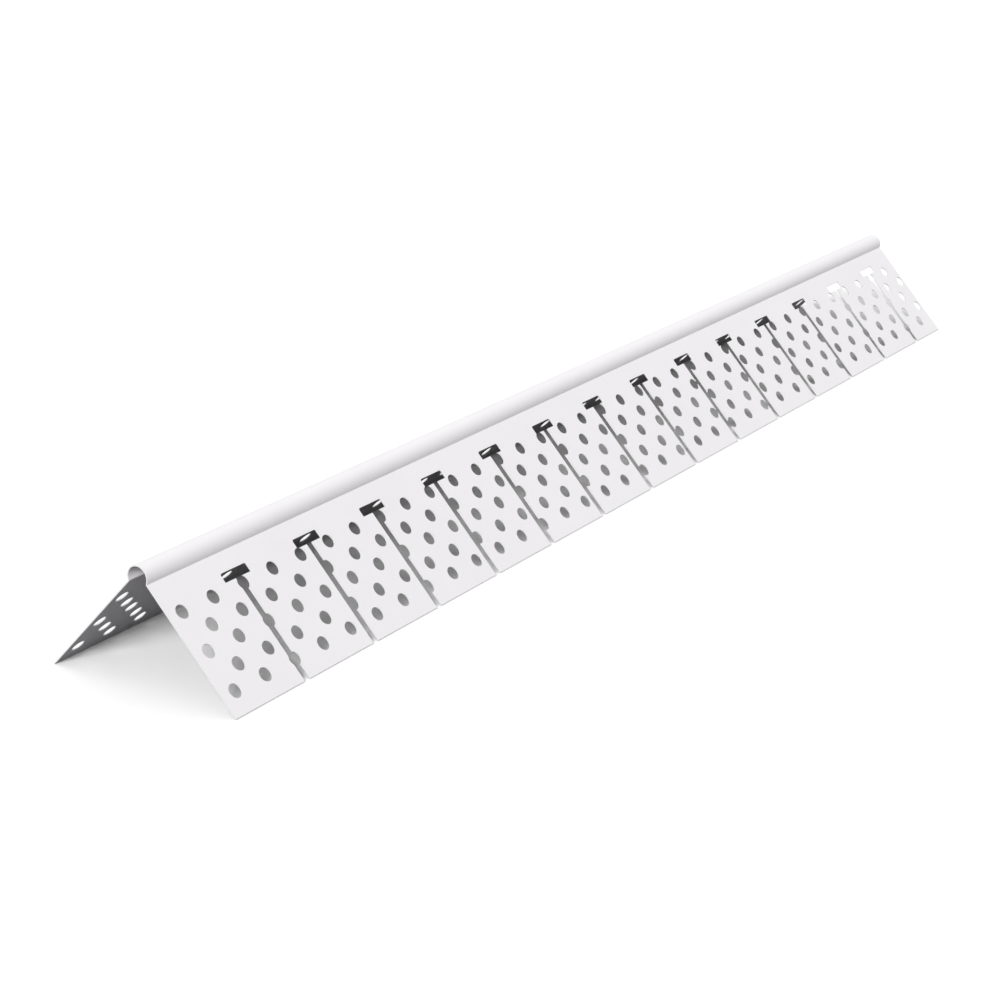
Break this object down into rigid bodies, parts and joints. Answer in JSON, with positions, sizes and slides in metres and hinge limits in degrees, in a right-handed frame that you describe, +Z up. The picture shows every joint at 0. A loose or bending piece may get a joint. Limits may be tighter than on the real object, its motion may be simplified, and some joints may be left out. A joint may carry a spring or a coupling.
{
  "type": "flexible arch corner bead",
  "caption": "White rigid PVC drywall corner bead with a rounded hollow nose and two perforated legs, one of them slit in T shapes so that it bends round an arch.",
  "frame": {"origin": "on the floor under the middle of the bead, which stands on the two free edges of its legs", "axes": "+X along the bead, +Z up from the free edges to the nose, the slit leg on the -Y side"},
  "size_m": [0.345, 0.048, 0.027],
  "materials": {
    "rigid_pvc": "extruded white rigid PVC, satin, with plain punched holes and slits"
  },
  "bodies": {
    "root": {"corner_bead": "rigid_pvc"}
  },
  "joints": []
}
